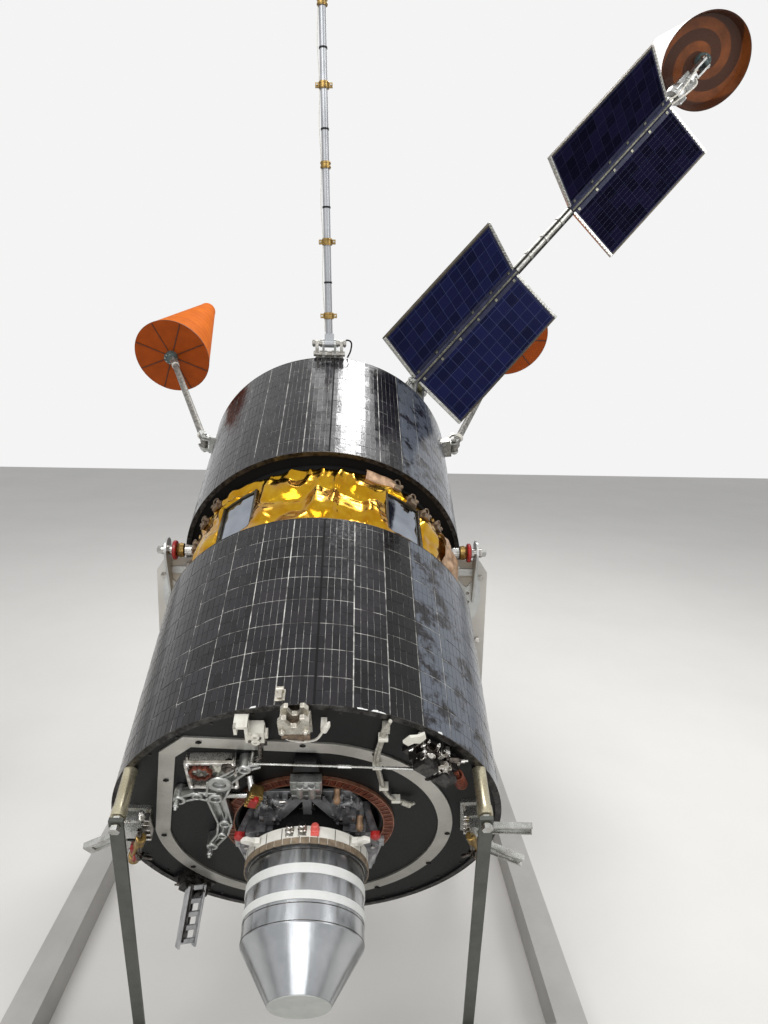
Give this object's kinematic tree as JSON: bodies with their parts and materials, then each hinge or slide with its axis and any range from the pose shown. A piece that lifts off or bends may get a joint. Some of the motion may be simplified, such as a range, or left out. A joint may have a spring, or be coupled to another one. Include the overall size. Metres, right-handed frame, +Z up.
{
  "type": "two-drum communications satellite on a museum stand",
  "caption": "Cylindrical communications satellite with solar cell drums, a hinged mast, a folding panel wing and cone antennas, leaning on its display stand.",
  "frame": {"origin": "on the floor, under the middle of the whole object's box", "axes": "+Z up, -Y the side that the satellite's bottom face looks to, +X to the right for someone who faces that bottom face"},
  "size_m": [2.2884, 2.5192, 3.1184],
  "materials": {
    "solar_cells": "gloss",
    "panel_cells": "gloss",
    "bottom_skin": "satin",
    "belt_black": "matte",
    "gold_foil": "polished",
    "mirror": "polished",
    "equipment": "matte",
    "strip_white": "matte",
    "copper_ring": "satin",
    "canister": "polished",
    "brass": "satin",
    "collar_white": "matte",
    "bare_metal": "satin",
    "spar_olive": "satin",
    "cone_orange": "satin",
    "cone_amber": "satin",
    "stand_grey": "satin",
    "leg_green": "satin",
    "gold_anodised": "satin",
    "bolt_steel": "satin",
    "ring_red": "satin"
  },
  "bodies": {
    "satellite": {"beam_back": "stand_grey", "beam_front": "stand_grey", "beam_middle": "stand_grey", "belt": "gold_foil", "belt_collars": "belt_black", "belt_mirrors": "mirror", "bottom_plate": "bottom_skin", "bridge": "bare_metal", "canister": "canister", "canister_bands": "collar_white", "canister_collar": "collar_white", "cream_fitting": "collar_white", "engine_adapter": "bare_metal", "equipment_core": "equipment", "face_strip": "strip_white", "latch_left": "bare_metal", "latch_low": "bare_metal", "latch_mast": "bare_metal", "latch_right": "bare_metal", "latch_wing": "bare_metal", "left_bracket": "bare_metal", "leg_left": "leg_green", "leg_right": "leg_green", "lower_drum": "solar_cells", "mast_bracket": "bare_metal", "rail_left": "stand_grey", "rail_right": "stand_grey", "right_bracket": "bare_metal", "sensor_box": "bare_metal", "standoff_left": "gold_anodised", "standoff_right": "gold_anodised", "top_plate": "bottom_skin", "trunnion_bolts": "bolt_steel", "trunnion_bracket_left": "bare_metal", "trunnion_bracket_right": "bare_metal", "trunnion_rings": "ring_red", "upper_drum": "solar_cells", "upright_left": "stand_grey", "upright_right": "stand_grey", "vent_ring": "copper_ring", "well": "bottom_skin", "wing_bracket": "bare_metal", "y_casting": "bare_metal"},
    "mast": {"mast": "bare_metal", "mast_clamps": "brass", "mast_tip": "bare_metal"},
    "wing": {"wing_spar": "spar_olive", "panel_inner_upper": "panel_cells", "panel_inner_lower": "panel_cells", "panel_outer_upper": "panel_cells", "panel_outer_lower": "panel_cells", "wing_end_bracket": "bare_metal"},
    "end_antenna": {"end_hub": "bare_metal", "end_cone": "cone_amber"},
    "left_antenna": {"left_arm": "bare_metal", "left_hub": "bare_metal", "left_cone": "cone_orange"},
    "right_antenna": {"right_arm": "bare_metal", "right_hub": "bare_metal", "right_cone": "cone_orange"}
  },
  "joints": [
    {"name": "mast_hinge", "type": "hinge", "parent": "satellite", "child": "mast", "pos_m": [-0.32114, 0.08242, 1.71419], "axis": [1, 0, 0], "range_deg": [0, 116.8]},
    {"name": "wing_hinge", "type": "hinge", "parent": "satellite", "child": "wing", "pos_m": [-0.02456, 0.21069, 1.58001], "axis": [0.6626, 0.3377, -0.6685], "range_deg": [0, 117.8]},
    {"name": "end_antenna_hinge", "type": "hinge", "parent": "wing", "child": "end_antenna", "pos_m": [0.9892, 0.49274, 2.7273], "axis": [0.6626, 0.3377, -0.6685], "range_deg": [0, 60]},
    {"name": "left_antenna_hinge", "type": "hinge", "parent": "satellite", "child": "left_antenna", "pos_m": [-0.75686, 0.24873, 1.37385], "axis": [0.1392, -0.4465, 0.8839], "range_deg": [0, 135]},
    {"name": "right_antenna_hinge", "type": "hinge", "parent": "satellite", "child": "right_antenna", "pos_m": [0.11458, 0.24873, 1.37385], "axis": [0.1392, 0.4465, -0.8839], "range_deg": [0, 135]}
  ]
}
